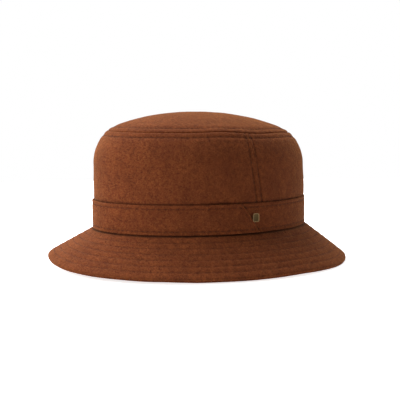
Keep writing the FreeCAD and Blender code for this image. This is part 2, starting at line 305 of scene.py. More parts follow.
def melton_material():
    """Fulled wool: fine fibres lie every way over soft clumps of nap, lighter where they stand. A
    real fibre is 0.02 mm thick, so they are drawn 0.9 mm thick to show. Where the relief sinks,
    in stitch grooves, seams and crevices, the wool is darkened with painted shade."""
    material, tree = new_material("fulled_wool_melton")
    place = add_node(tree, "ShaderNodeTexCoord", {}, {}).outputs["Object"]
    strands = None
    for turn in ((0.4, 0.9, 0.2), (1.7, 0.3, 1.1), (2.6, 1.2, 2.3)):
        laid = add_node(tree, "ShaderNodeMapping", {}, {
            "Vector": place,
            "Rotation": turn,
            "Scale": (1.0 / (4.5 * MM), 1.0 / (0.9 * MM), 1.0 / (0.9 * MM)),
        })
        fibre = add_node(tree, "ShaderNodeTexNoise", {}, {
            "Vector": laid.outputs["Vector"], "Scale": 1.0, "Detail": 2.0,
            "Roughness": 0.6, "Distortion": 0.8,
        }).outputs["Fac"]
        if strands is None:
            strands = fibre
        else:
            strands = add_node(tree, "ShaderNodeMath", {"operation": "MAXIMUM"},
                               {0: strands, 1: fibre}).outputs[0]
    clumps = add_node(tree, "ShaderNodeTexNoise", {}, {
        "Vector": place, "Scale": 1.0 / (3.6 * MM), "Detail": 4.0, "Roughness": 0.62,
        "Distortion": 0.4,
    }).outputs["Fac"]
    shade = add_node(tree, "ShaderNodeTexNoise", {}, {
        "Vector": place, "Scale": 1.0 / (26.0 * MM), "Detail": 4.0, "Roughness": 0.6,
    }).outputs["Fac"]
    tufts = add_node(tree, "ShaderNodeTexNoise", {}, {
        "Vector": place, "Scale": 1.0 / (1.5 * MM), "Detail": 1.0, "Roughness": 0.5,
    }).outputs["Fac"]
    strand_mix, tuft_mix, clump_mix, shade_mix = [
        add_node(tree, "ShaderNodeMapRange", {}, {
            "Value": pattern, "From Min": low, "From Max": high,
        }).outputs["Result"]
        for pattern, low, high in ((strands, 0.5, 0.74), (tufts, 0.36, 0.64),
                                   (clumps, 0.34, 0.66), (shade, 0.3, 0.7))]
    nap = add_node(tree, "ShaderNodeMix", {"data_type": "RGBA"},
                   {0: clump_mix, 6: linear("#5A2A15"), 7: linear("#7F4021")}).outputs[2]
    hollow = add_node(tree, "ShaderNodeMath", {"operation": "MULTIPLY_ADD"},
                      {0: tuft_mix, 1: 0.4, 2: 0.6}).outputs[0]
    tufted = add_node(tree, "ShaderNodeMix", {"data_type": "RGBA"},
                      {0: hollow, 6: linear("#3C1A0E"), 7: nap}).outputs[2]
    heather = add_node(tree, "ShaderNodeMath", {"operation": "MULTIPLY"},
                       {0: strand_mix, 1: 0.44}).outputs[0]
    lit = add_node(tree, "ShaderNodeMix", {"data_type": "RGBA"},
                   {0: heather, 6: tufted, 7: linear("#B26837")}).outputs[2]
    worn = add_node(tree, "ShaderNodeMath", {"operation": "MULTIPLY"},
                    {0: shade_mix, 1: 0.42}).outputs[0]
    standing = add_node(tree, "ShaderNodeMix", {"data_type": "RGBA"},
                        {0: worn, 6: lit, 7: linear("#542614")}).outputs[2]
    # Painted shade: where the relief sinks, in stitch grooves, seams and crevices, the wool is
    # darkened towards #2A1208 for the shade that falls there.
    nap_height = add_node(tree, "ShaderNodeAttribute", {"attribute_name": "nap_height"}, {})
    painted_groove_shade = add_node(tree, "ShaderNodeMapRange", {}, {
        "Value": nap_height.outputs["Fac"], "From Min": -0.7, "From Max": 0.0,
        "To Min": 0.2, "To Max": 1.0,
    }).outputs["Result"]
    colour = add_node(tree, "ShaderNodeMix", {"data_type": "RGBA"},
                      {0: painted_groove_shade, 6: linear("#2A1208"), 7: standing}).outputs[2]
    strand_height = add_node(tree, "ShaderNodeMath", {"operation": "MULTIPLY"},
                             {0: strands, 1: 0.55}).outputs[0]
    tuft_height = add_node(tree, "ShaderNodeMath", {"operation": "MULTIPLY_ADD"},
                           {0: tufts, 1: 0.6, 2: strand_height}).outputs[0]
    fuzz = add_node(tree, "ShaderNodeMath", {"operation": "ADD"},
                    {0: tuft_height, 1: clumps}).outputs[0]
    finish_surface(tree, colour, {
        "Roughness": 0.95, "Specular IOR Level": 0.12,
        "Sheen Weight": 0.45, "Sheen Roughness": 0.3, "Sheen Tint": linear("#D08C42"),
    }, (fuzz, 0.75, 0.9 * MM))
    return material


melton = melton_material()
for panel_name, panel_start in (("side_panel_front", -math.pi), ("side_panel_back", 0.0)):
    panel_outline = strip_outline(0.0, wall_run, 0.0, wool_thickness,
                                  (0.0, wool_edge, hidden_edge, 0.0), (1.2 * MM, 6.0 * MM))
    panel_gap = panel_clearance / half_long
    panel = lay_strip(panel_outline, panel_start + panel_gap, math.pi - 2.0 * panel_gap,
                      ring_steps // 2)
    wrap_cloth(panel, wall_point, wall_relief)
    finish_piece(panel, "dressed_" + panel_name, melton, [panel_name])

# Tip: one oval of the same melton, steamed to a low dome. Its rim is sewn face to face
# with the wall's upper edge, then both seam allowances are stitched down at each side.
seam_inset = shoulder_radius * (1.0 - math.cos(shoulder_turn))
seam_clearance = 0.1 * MM
tip_half_wide = half_wide - seam_inset - seam_clearance
tip_half_long = half_long - seam_inset - seam_clearance
tip_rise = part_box("tip_panel")[1][2] - seam_z
tip_roundness = 1.6
tip_edge_turn = math.radians(84.0)
tip_edge_radius = tip_half_wide / math.sin(tip_edge_turn)
tip_edge_drop = math.cos(tip_edge_turn) ** tip_roundness
tip_row = 0.85 * seam_row
tip_sag_bias = 0.3
tip_lumps = ((0.7, 52.0, 5.4),)
tip_puffs = ((2.6, 0.26, 1.8), (9.0, 0.2, 3.0))
tip_nap = ((0.18, 10.0, 2.9), (0.07, 3.4, 8.2))


def tip_point(angle, run):
    """A point of the tip's face. The run is its distance from the middle, measured
    across the hat."""
    sine = min(run / tip_edge_radius, 1.0)
    fullness = (1.0 - sine * sine) ** (tip_roundness / 2.0)
    z = seam_z + seam_clearance + tip_rise * (fullness - tip_edge_drop) / (1.0 - tip_edge_drop)
    x = run * math.cos(angle)
    y = run * math.sin(angle) * tip_half_long / tip_half_wide
    reach = run / tip_half_wide
    z += lumps((x, y, 0.0), tip_lumps) * (1.0 - reach ** 4)
    tilt = reach * (1.0 + tip_sag_bias * (1.0 - reach * reach))
    z -= crown_sag * math.cos(angle - sag_side) * tilt
    return Vector((x, y, z + seam_settle(angle) * reach ** 6))


def tip_relief(angle, run, depth):
    """The stitched groove inside the rim, the puff over the allowance, and the nap."""
    face = max(0.0, 1.0 - depth / wool_thickness)
    if face == 0.0:
        return 0.0
    inside_rim = tip_half_wide - run
    pucker = 0.75 + 0.25 * puckers(angle, 6.1 * MM)
    height = -groove_depth * dip(inside_rim - tip_row, groove_width) * pucker
    height += ridges(inside_rim, tip_puffs)
    return face * (height + lumps(tip_point(angle, run), tip_nap))


tip_outline = strip_outline(0.0, tip_half_wide, 0.0, wool_thickness,
                            (0.0, wool_edge, hidden_edge, 0.0), (1.5 * MM, 6.0 * MM))
tip = lay_strip(tip_outline, 0.0, math.tau, ring_steps)
wrap_cloth(tip, tip_point, tip_relief, meets_in_middle=True)
finish_piece(tip, "dressed_tip_panel", melton, ["tip_panel"])

# Tip seam tape: a plain woven cotton tape, 0.8 mm thick, sewn inside the shoulder over
# the raw edges of the tip seam. The lining hides it.
tape_thickness = 0.8 * MM
tape_above_seam = 2.0 * MM
tape_below_seam = 7.0 * MM
inside_depth = wool_thickness + 0.25 * MM
square_edges = (0.0, 0.0, 0.0, 0.0)


def no_relief(angle, run, depth):
    """Cloth that lies flat under another layer."""
    return 0.0


def wave_scale(pitch):
    """The scale at which a wave texture's bands are a pitch apart."""
    return math.tau / (20.0 * pitch)


def tape_material():
    """Plain woven cotton: warp and weft cross one over one, 0.8 mm apart, and the
    hollows between them are darker."""
    material, tree = new_material("woven_cotton_tape")
    place = add_node(tree, "ShaderNodeTexCoord", {}, {}).outputs["Object"]
    wobble = add_node(tree, "ShaderNodeTexNoise", {}, {
        "Vector": place, "Scale": 1.0 / (9.0 * MM), "Detail": 2.0,
    }).outputs["Fac"]
    weft, warp = [
        add_node(tree, "ShaderNodeTexWave", {"bands_direction": direction}, {
            "Vector": place, "Scale": wave_scale(0.8 * MM), "Distortion": 0.6,
            "Detail": 1.0,
        }).outputs["Fac"] for direction in ("Z", "DIAGONAL")]
    weave = add_node(tree, "ShaderNodeMath", {"operation": "MULTIPLY"},
                     {0: weft, 1: warp}).outputs[0]
    shaded = add_node(tree, "ShaderNodeMath", {"operation": "MULTIPLY_ADD"},
                      {0: wobble, 1: 0.5, 2: weave}).outputs[0]
    colour = add_node(tree, "ShaderNodeMix", {"data_type": "RGBA"},
                      {0: shaded, 6: linear("#38241A"), 7: linear("#5A3A28")}).outputs[2]
    finish_surface(tree, colour, {
        "Roughness": 0.85, "Specular IOR Level": 0.3, "Sheen Weight": 0.1,
    }, (weave, 0.5, 0.15 * MM))
    return material


tape_outline = strip_outline(wall_run - tape_below_seam, wall_run + tape_above_seam,
                             inside_depth, inside_depth + tape_thickness, square_edges,
                             (2.0 * MM, 4.0 * MM))
tape = lay_strip(tape_outline, 0.0, math.tau, ring_steps // 4)
wrap_cloth(tape, wall_point, no_relief)
finish_piece(tape, "dressed_tip_seam_tape", tape_material(), ["tip_seam_tape"])

# Crown stitching: spun polyester thread, drawn 0.6 mm thick, in lockstitches 3.1 mm
# apart. One row lies on each side of the tip seam and of both side seams, pulled in.
thread_radius = 0.3 * MM
stitch_pitch = 3.1 * MM
stitch_cover = 0.82
tip_sunk = 0.25 * MM
side_sunk = 0.22 * MM


def thread_material():
    """Spun sewing thread: two twisted plies, dyed to the wool and as matt as it is."""
    material, tree = new_material("spun_polyester_thread")
    place = add_node(tree, "ShaderNodeTexCoord", {}, {}).outputs["Object"]
    ply = add_node(tree, "ShaderNodeTexNoise", {}, {
        "Vector": place, "Scale": 1.0 / (0.5 * MM), "Detail": 1.0,
    }).outputs["Fac"]
    colour = add_node(tree, "ShaderNodeMix", {"data_type": "RGBA"},
                      {0: ply, 6: linear("#43200F"), 7: linear("#6A3619")}).outputs[2]
    finish_surface(tree, colour, {"Roughness": 0.75, "Specular IOR Level": 0.15},
                   (ply, 0.4, 0.1 * MM))
    return material


stitch = bmesh.new()
bmesh.ops.create_uvsphere(stitch, u_segments=6, v_segments=5, radius=1.0,
                          matrix=Matrix.Rotation(math.pi / 2.0, 4, "Y"))
stitch_points = [vert.co.copy() for vert in stitch.verts]
stitch_faces = [[vert.index for vert in face.verts] for face in stitch.faces]
stitch.free()


def sew_row(bm, face_point, places, sunk):
    """Lay one stitch between each two places, given as angle and run, and sink it."""
    for (angle, run), (next_angle, next_run) in zip(places, places[1:]):
        middle, normal = surface_normal(face_point, (angle + next_angle) / 2.0,
                                        (run + next_run) / 2.0)
        along = face_point(next_angle, next_run) - face_point(angle, run)
        length = along.length * stitch_cover
        along.normalize()
        side = normal.cross(along).normalized()
        turn = Matrix((along, side, along.cross(side))).transposed().to_4x4()
        stretch = Matrix.Diagonal((length / 2.0, thread_radius, thread_radius, 1.0))
        matrix = Matrix.Translation(middle - normal * sunk) @ turn @ stretch
        verts = [bm.verts.new(matrix @ point) for point in stitch_points]
        for face in stitch_faces:
            bm.faces.new([verts[index] for index in face])


def ring_places(run, length):
    """Even stitch places round the hat at one run along the cloth."""
    count = round(length / stitch_pitch)
    return [(math.tau * i / count, run) for i in range(count + 1)]


sewing_thread = thread_material()
seam_length = math.pi * (tip_half_wide + tip_half_long)
tip_rows = bmesh.new()
sew_row(tip_rows, wall_point, ring_places(wall_run - seam_row, seam_length), tip_sunk)
sew_row(tip_rows, tip_point, ring_places(tip_half_wide - tip_row, seam_length), tip_sunk)
finish_piece(tip_rows, "dressed_tip_seam_stitches", sewing_thread,
             ["tip_seam_stitches"])

side_rows = bmesh.new()
side_foot_run = band_high_z - wall_foot_z - 2.0 * MM
side_top_run = wall_run - 1.0 * MM
side_count = round((side_top_run - side_foot_run) / stitch_pitch)
side_runs = [side_foot_run + (side_top_run - side_foot_run) * i / side_count
             for i in range(side_count + 1)]
for side_angle in (0.0, math.pi):
    for row_shift in (-side_row, side_row):
        row_angle = side_angle + row_shift / side_arc
        sew_row(side_rows, wall_point, [(row_angle, run) for run in side_runs], side_sunk)
finish_piece(side_rows, "dressed_side_seam_stitches", sewing_thread,
             ["side_seam_stitches"])

# Lining: two walls and a tip of thin satin-faced twill, cut as the crown is and hung
# inside it from the seams, so it sags a little and wrinkles where it is held.
lining_thickness = 0.5 * MM
lining_top_run = wall_run - 1.0 * MM
lining_foot_run = 4.0 * MM
lining_rim_margin = 1.6 * MM
lining_clearance = 0.1 * MM
lining_slack = 0.96 * MM
lining_held_run = 36.0 * MM
lining_easing_run = 22.0 * MM
wall_fold = 0.9 * MM
tip_fold = 1.2 * MM


def lining_material():
    """Satin-faced twill: a low silky sheen over slanting ribs. Real ribs are 0.3 mm
    apart, so they are drawn 1.5 mm apart to show."""
    material, tree = new_material("satin_faced_lining")
    place = add_node(tree, "ShaderNodeTexCoord", {}, {}).outputs["Object"]
    rib = add_node(tree, "ShaderNodeTexWave", {"bands_direction": "DIAGONAL"}, {
        "Vector": place, "Scale": wave_scale(1.5 * MM), "Distortion": 0.8, "Detail": 2.0,
    }).outputs["Fac"]
    shade = add_node(tree, "ShaderNodeTexNoise", {}, {
        "Vector": place, "Scale": 1.0 / (18.0 * MM), "Detail": 3.0,
    }).outputs["Fac"]
    tone = add_node(tree, "ShaderNodeMath", {"operation": "MULTIPLY_ADD"},
                    {0: rib, 1: 0.2, 2: shade}).outputs[0]
    colour = add_node(tree, "ShaderNodeMix", {"data_type": "RGBA"},
                      {0: tone, 6: linear("#38200F"), 7: linear("#64391F")}).outputs[2]
    finish_surface(tree, colour, {
        "Roughness": 0.45, "Specular IOR Level": 0.25,
        "Sheen Weight": 0.15, "Sheen Roughness": 0.3, "Sheen Tint": linear("#C09068"),
    }, (rib, 0.3, 0.08 * MM))
    return material


def lining_relief(angle, run, depth):
    """The slack at the shoulder, and soft upright folds that fade towards the foot."""
    share = min(1.0, max(0.0, (run - lining_held_run) / lining_easing_run))
    easing = share * share * (3.0 - 2.0 * share)
    place = (math.cos(angle) * half_wide, math.sin(angle) * half_long, run * 0.35)
    fold = 0.5 + 0.5 * soft_noise(place, 11.0 * MM, 4.4)
    return -easing * (lining_slack + wall_fold * fold)


def tip_lining_relief(angle, run, depth):
    """The tip lining's slack, with folds that gather towards its rim."""
    reach = run / tip_half_wide
    place = (math.cos(angle) * half_wide, math.sin(angle) * half_long, run * 0.3)
    fold = 0.5 + 0.5 * soft_noise(place, 12.0 * MM, 6.6)
    return -lining_slack - tip_fold * fold * reach ** 3


satin = lining_material()
for part_name, part_start in (("lining_side_front", -math.pi), ("lining_side_back", 0.0)):
    wall_lining = strip_outline(lining_foot_run, lining_top_run, inside_depth,
                                inside_depth + lining_thickness, square_edges,
                                (4.0 * MM, 2.5 * MM))
    part_gap = lining_clearance / half_long
    part = lay_strip(wall_lining, part_start + part_gap, math.pi - 2.0 * part_gap,
                     ring_steps // 2)
    wrap_cloth(part, wall_point, lining_relief)
    finish_piece(part, "dressed_" + part_name, satin, [part_name])
tip_lining_outline = strip_outline(0.0, tip_half_wide - lining_rim_margin, inside_depth,
                                   inside_depth + lining_thickness, square_edges,
                                   (5.0 * MM, 3.0 * MM))
tip_lining = lay_strip(tip_lining_outline, 0.0, math.tau, ring_steps // 2)
wrap_cloth(tip_lining, tip_point, tip_lining_relief, meets_in_middle=True)
finish_piece(tip_lining, "dressed_lining_tip", satin, ["lining_tip"])

# Brim: an upper and a lower layer of melton round a stiff bonded interlining, turned
# and pressed at the edge and quilted through. It slopes down at 28 to 40 degrees, most
# at the wearer's left, and its edge lifts and drops as cloth that has been worn does.
band_stand = 1.4 * MM
brim_run = 50.7 * MM
brim_slope = math.radians(34.6)
brim_droop = math.radians(5.6)
brim_droop_side = math.radians(6.3)
brim_wave = math.radians(1.6)
brim_wave_side = math.radians(130.8)
# Each lift of the edge has its side in degrees, its width in radians and its rise.
brim_lifts = ((-25.0, 0.7, 1.6 * MM), (40.0, 0.33, -2.2 * MM), (-97.0, 0.35, 0.9 * MM),
              (-135.0, 0.6, 1.2 * MM), (150.0, 0.9, -5.6 * MM))
brim_inner_run = -5.4 * MM
brim_row_spacing = 6.87 * MM
brim_rows = [8.5 * MM + brim_row_spacing * i for i in range(6)]
brim_row_reach = 6.0 * MM
brim_row_shift = 0.37
quilt_depth = 0.19 * MM
quilt_pucker = 0.09 * MM
quilt_puff = 0.16 * MM
brim_lumps = ((1.1, 55.0, 9.3), (0.5, 21.0, 2.2))
upper_nap = ((0.15, 8.0, 3.9), (0.07, 3.0, 6.1))
lower_nap = ((0.15, 8.0, 1.9), (0.07, 3.0, 4.1))
root_pinch = ((0.2, -0.9, 1.3),)
interlining_thickness = 0.4 * MM
layer_air = 0.15 * MM
middle_top = wool_thickness + layer_air
lower_top = middle_top + interlining_thickness + layer_air
brim_depth = lower_top + wool_thickness
brim_nose = 1.9 * MM
brim_inner_edge = 0.2 * MM


def brim_point(angle, run):
    """A point of the brim's upper face, a run out from the band's foot."""
    x = (half_wide + band_stand) * math.cos(angle)
    y = (half_long + band_stand) * math.sin(angle)
    facing = math.atan2(half_wide * math.sin(angle), half_long * math.cos(angle))
    slope = brim_slope + brim_droop * math.cos(facing - brim_droop_side)
    slope += brim_wave * math.cos(2.0 * (facing - brim_wave_side))
    reach = max(0.0, run / brim_run)
    place = (math.cos(facing) * 0.1, math.sin(facing) * 0.1, 0.0)
    lift = lumps(place, brim_lumps) * reach * reach
    for side, width, rise in brim_lifts:
        away = math.remainder(facing - math.radians(side), math.tau)
        lift += rise * dip(away, width) * reach
    out = run * math.cos(slope)
    return Vector((x + out * math.cos(facing), y + out * math.sin(facing),
                   root_z - run * math.sin(slope) + lift))


def brim_quilting(angle, run):
    """Grooves at the rows, and the cloth's puff and pucker between them."""
    height = 0.0
    for index, row in enumerate(brim_rows):
        away = run - row
        if abs(away) < brim_row_reach:
            wave = puckers(angle + brim_row_shift * index, 6.3 * MM)
            height -= (quilt_depth + quilt_pucker * wave) * dip(away, 1.05 * MM)
            height += quilt_puff * dip(abs(away) - brim_row_spacing / 2.0, 2.0 * MM)
    return height


def brim_upper_relief(angle, run, depth):
    """Relief of the brim's upper face, gone on its hidden side."""
    face = max(0.0, 1.0 - depth / wool_thickness)
    if face == 0.0:
        return 0.0
    nap = lumps(brim_point(angle, run), upper_nap)
    return face * (brim_quilting(angle, run) + nap + ridges(run, root_pinch))


def brim_lower_relief(angle, run, depth):
    """Relief of the brim's lower face, which swells away from the upper one."""
    face = max(0.0, (depth - lower_top) / wool_thickness)
    nap = lumps(brim_point(angle, run), lower_nap)
    return -face * (brim_quilting(angle, run) + nap)


def interlining_material():
    """Bonded interlining: pressed short fibres, off-white and matt."""
    material, tree = new_material("bonded_interlining")
    place = add_node(tree, "ShaderNodeTexCoord", {}, {}).outputs["Object"]
    fibres = add_node(tree, "ShaderNodeTexNoise", {}, {
        "Vector": place, "Scale": 1.0 / (1.2 * MM), "Detail": 4.0, "Distortion": 1.2,
    }).outputs["Fac"]
    colour = add_node(tree, "ShaderNodeMix", {"data_type": "RGBA"},
                      {0: fibres, 6: linear("#C9C0AC"), 7: linear("#E6E0D2")}).outputs[2]
    finish_surface(tree, colour, {"Roughness": 0.9, "Specular IOR Level": 0.2})
    return material


upper_outline = strip_outline(brim_inner_run, brim_run, 0.0, wool_thickness,
                              (0.0, brim_nose, brim_inner_edge, 0.0),
                              (1.1 * MM, 6.0 * MM))
brim_upper = lay_strip(upper_outline, 0.0, math.tau, ring_steps)
wrap_cloth(brim_upper, brim_point, brim_upper_relief)
finish_piece(brim_upper, "dressed_brim_top", melton, ["brim_top"])

lower_outline = strip_outline(brim_inner_run, brim_run, lower_top, brim_depth,
                              (0.0, brim_inner_edge, brim_nose, 0.0),
                              (6.0 * MM, 1.1 * MM))
brim_lower = lay_strip(lower_outline, 0.0, math.tau, ring_steps)
wrap_cloth(brim_lower, brim_point, brim_lower_relief)
for vert in brim_lower.verts:
    vert.co.z = max(vert.co.z, 0.0)
finish_piece(brim_lower, "dressed_brim_under", melton, ["brim_under"])

middle_outline = strip_outline(brim_inner_run + 1.0 * MM, brim_run - 4.0 * MM, middle_top,
                               middle_top + interlining_thickness, square_edges,
                               (5.0 * MM, 5.0 * MM))
brim_middle = lay_strip(middle_outline, 0.0, math.tau, ring_steps // 4)
wrap_cloth(brim_middle, brim_point, no_relief)
finish_piece(brim_middle, "dressed_brim_interlining", interlining_material(),
             ["brim_interlining"])

# Brim stitching: rows of the same thread through all three layers, 6.9 mm apart, with
# the upper thread on the upper face and the bobbin thread below.
brim_sunk = 0.2 * MM
brim_thread = bmesh.new()


def brim_lower_point(angle, run):
    """A point of the brim's lower face."""
    here, normal = surface_normal(brim_point, angle, run)
    return here - normal * brim_depth


for row_run in brim_rows:
    row_length = math.pi * (half_wide + half_long + 2.0 * row_run * math.cos(brim_slope))
    sew_row(brim_thread, brim_point, ring_places(row_run, row_length), brim_sunk)
    sew_row(brim_thread, brim_lower_point, ring_places(row_run, row_length), -brim_sunk)
finish_piece(brim_thread, "dressed_brim_stitches", sewing_thread, ["brim_stitches"])

# Band: one strip of thinner melton sewn flat round the crown's foot, 26.5 mm tall. It
# starts under its own end at the wearer's left and laps over itself there, and the
# upper end is cut on a slant that runs down towards the back.
band_thickness = 1.2 * MM
band_row = 3.5 * MM
lap_top_y = -15.0 * MM
lap_foot_y = 3.5 * MM
lap_start = math.radians(-24.0)
lap_rise = 1.3 * MM
lap_ramp = math.radians(7.0)
lap_bow = 1.1 * MM
lap_edge_fall = 0.5 * MM
band_foot_run = 0.5 * MM
band_corner = 0.55 * MM
band_steps = 560
band_sunk = 0.16 * MM
band_bulge = 0.6 * MM
band_bulge_side = math.radians(-123.0)
band_lumps = ((0.3, 30.0, 11.2),)
band_sway = ((0.45, 40.0, 6.3),)
band_nap = ((0.12, 8.0, 5.5), (0.06, 3.0, 9.9))
edge_lines = ((band_row / MM, -0.5, 1.0), (1.4, 0.2, 1.1), (7.0, 0.22, 3.0))
end_lines = ((band_row / MM, -0.25, 0.9), (1.4, 0.3, 1.0))
lap_pinch = ((0.5, -0.8, 1.2),)


def lap_end_angle(run):
    """Where the slanted end of the band lies at a height above its foot."""
    share = run / band_height
    slant = lap_foot_y + (lap_top_y - lap_foot_y) * share
    slant += lap_bow * math.sin(math.pi * share)
    return math.asin(slant / half_long)


def band_angle(share, run):
    """The angle at a share of the strip's length: the far end follows the slant."""
    end = lap_end_angle(run) + math.tau
    return lap_start + (end - lap_start) * share


def band_point(angle, run):
    """A point of the band's face; past a full turn it lies over its own start."""
    lapped = (angle - lap_start - math.tau + lap_ramp) / lap_ramp
    lapped = min(1.0, max(0.0, lapped))
    out = band_stand + lap_rise * lapped * lapped * (3.0 - 2.0 * lapped)
    place = (math.cos(angle) * half_wide, math.sin(angle) * half_long, run)
    out += lumps(place, band_lumps)
    out += band_bulge * dip(math.remainder(angle - band_bulge_side, math.tau), 0.8)
    sway = lumps((place[0], place[1], 0.0), band_sway) * run / band_height
    return Vector(((half_wide + out) * math.cos(angle),
                   (half_long + out) * math.sin(angle), root_z + run + sway))


def band_relief(angle, run, depth):
    """Grooves at the rows, rolled edges beyond them, and the nap."""
    face = max(0.0, 1.0 - depth / band_thickness)
    pucker = 0.65 + 0.35 * puckers(angle, 5.7 * MM)
    from_edge = min(run, band_height - run)
    height = ridges(from_edge, edge_lines[:1]) * pucker + ridges(from_edge, edge_lines[1:])
    height += lumps(band_point(angle, run), band_nap)
    past_end = (angle - lap_end_angle(run)) * half_long
    height += ridges(math.tau * half_long - past_end, end_lines)
    return face * (height + ridges(past_end, lap_pinch))


band_outline = strip_outline(band_foot_run, band_height, 0.0, band_thickness,
                             (band_corner,) * 4, (0.9 * MM, 5.0 * MM))
band = lay_strip(band_outline, 0.0, 1.0, band_steps)
nap_height = band.verts.layers.float.new("nap_height")
for vert in band.verts:
    share, depth, run = vert.co
    crowded = 1.0 - (1.0 - share) ** 1.6 * 0.5 - (1.0 - share) * 0.5
    angle = band_angle(crowded, run)
    here, normal = surface_normal(band_point, angle, run)
    end_fall = lap_edge_fall * dip((1.0 - share) * math.tau * half_long, 0.8 * MM)
    height = band_relief(angle, run, depth) - end_fall
    vert[nap_height] = height / MM
    vert.co = here + normal * (height - depth)
finish_piece(band, "dressed_hat_band", melton, ["hat_band"])

band_thread = bmesh.new()
band_length = math.pi * (half_wide + half_long)
for row_height in (band_row, band_height - band_row):
    row_end = lap_end_angle(row_height) + math.tau - band_row / half_long
    visible_start = lap_end_angle(row_height) + 0.8 * MM / half_long
    row_count = round((row_end - visible_start) * half_long / stitch_pitch)
    row_places = [(visible_start + (row_end - visible_start) * i / row_count, row_height)
                  for i in range(row_count + 1)]
    sew_row(band_thread, band_point, row_places, band_sunk)
end_heights = [band_row + (band_height - 2.0 * band_row) * i / 8.0 for i in range(9)]
end_places = [(lap_end_angle(height) + math.tau - band_row / half_long, height)
              for height in end_heights]
sew_row(band_thread, band_point, end_places, band_sunk)
finish_piece(band_thread, "dressed_band_stitches", sewing_thread, ["band_stitches"])

# Badge: a small stamped brass plate, bare inside its raised border, held by two prongs
# through the band's lap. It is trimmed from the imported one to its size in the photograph.
# The washer behind it is plain stamped steel and stays hidden.
badge_low, badge_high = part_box("badge")
badge_middle_y = (badge_low[1] + badge_high[1]) / 2.0
badge_middle_z = (badge_low[2] + badge_high[2]) / 2.0
badge_trim = Vector((0.0, 1.0 * MM, 1.6 * MM))
badge_set = Vector((0.0, -0.8 * MM, 0.5 * MM))
badge_border = 0.9 * MM
badge_plate = 1.0 * MM
badge_corner = 1.8 * MM
badge_hollow = 0.45 * MM
badge_bevel = 0.16 * MM
prong_wide = 1.2 * MM
prong_tall = 0.6 * MM
prong_offset = 2.2 * MM
badge_front = badge_high[0]
prong_length = badge_front - badge_plate - badge_low[0]


def brass_material():
    """Aged brass: polished where the border stands proud, brown in the hollow."""
    material, tree = new_material("aged_stamped_brass")
    place = add_node(tree, "ShaderNodeTexCoord", {}, {}).outputs["Object"]
    tarnish = add_node(tree, "ShaderNodeTexNoise", {}, {
        "Vector": place, "Scale": 1.0 / (1.6 * MM), "Detail": 4.0, "Roughness": 0.65,
    }).outputs["Fac"]
    raised = add_node(tree, "ShaderNodeAttribute", {"attribute_name": "rubbed"}, {})
    bright = add_node(tree, "ShaderNodeMath", {"operation": "MULTIPLY"},
                      {0: raised.outputs["Fac"], 1: tarnish}).outputs[0]
    dull = add_node(tree, "ShaderNodeMix", {"data_type": "RGBA"},
                    {0: tarnish, 6: linear("#241B10"), 7: linear("#4E3F27")}).outputs[2]
    colour = add_node(tree, "ShaderNodeMix", {"data_type": "RGBA"},
                      {0: bright, 6: dull, 7: linear("#A9865E")}).outputs[2]
    roughness = add_node(tree, "ShaderNodeMapRange", {}, {
        "Value": tarnish, "To Min": 0.32, "To Max": 0.6,
    }).outputs["Result"]
    finish_surface(tree, colour, {"Metallic": 1.0, "Roughness": roughness})
    return material


def steel_material():
    """Plain stamped steel: grey, with fine rolling marks along its length."""
    material, tree = new_material("stamped_steel")
    place = add_node(tree, "ShaderNodeTexCoord", {}, {}).outputs["Object"]
    drawn = add_node(tree, "ShaderNodeMapping", {}, {
        "Vector": place, "Scale": (1.0 / (0.4 * MM), 1.0 / (6.0 * MM), 1.0 / (0.4 * MM)),
    }).outputs["Vector"]
    marks = add_node(tree, "ShaderNodeTexNoise", {}, {
        "Vector": drawn, "Scale": 1.0, "Detail": 2.0,
    }).outputs["Fac"]
    colour = add_node(tree, "ShaderNodeMix", {"data_type": "RGBA"},
                      {0: marks, 6: linear("#8B8B8B"), 7: linear("#B4B4B4")}).outputs[2]
    finish_surface(tree, colour, {"Metallic": 1.0, "Roughness": 0.4})
    return material


badge = bmesh.new()
plate = bmesh.ops.create_cube(badge, size=1.0)["verts"]
bmesh.ops.scale(badge, verts=plate,
                vec=(badge_plate, badge_high[1] - badge_low[1] - badge_trim.y,
                     badge_high[2] - badge_low[2] - badge_trim.z))
upright = [edge for edge in badge.edges
           if abs(edge.verts[0].co.x - edge.verts[1].co.x) > 0.5 * badge_plate]
bmesh.ops.bevel(badge, geom=upright, offset=badge_corner, offset_type="OFFSET",
                segments=6, profile=0.5, affect="EDGES", material=-1)
rubbed = badge.verts.layers.float.new("rubbed")
for vert in badge.verts:
    vert[rubbed] = 1.0
front = [face for face in badge.faces if face.normal.x > 0.9]
bmesh.ops.inset_region(badge, faces=front, thickness=badge_border)
hollow_verts = list({vert for face in front for vert in face.verts})
bmesh.ops.translate(badge, verts=hollow_verts, vec=(-badge_hollow, 0.0, 0.0))
for vert in hollow_verts:
    vert[rubbed] = 0.0
sharp = [edge for edge in badge.edges if len(edge.link_faces) == 2
         and edge.calc_face_angle(0.0) > math.radians(50.0)]
bmesh.ops.bevel(badge, geom=sharp, offset=badge_bevel, offset_type="OFFSET", segments=3,
                profile=0.5, affect="EDGES", material=-1)
bmesh.ops.translate(badge, verts=badge.verts[:],
                    vec=Vector((badge_front - badge_plate / 2.0, badge_middle_y,
                                badge_middle_z)) + badge_set)
for prong_shift in (-prong_offset, prong_offset):
    prong = bmesh.ops.create_cube(badge, size=1.0)["verts"]
    bmesh.ops.scale(badge, verts=prong, vec=(prong_length, prong_wide, prong_tall))
    bmesh.ops.translate(badge, verts=prong,
                        vec=(badge_low[0] + prong_length / 2.0, badge_middle_y,
                             badge_middle_z + prong_shift))
badge_piece = finish_piece(badge, "dressed_badge", brass_material(), ["badge"])
badge_piece.data.set_sharp_from_angle(angle=math.radians(35.0))

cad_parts["badge_washer"].material_slots[0].material = steel_material()

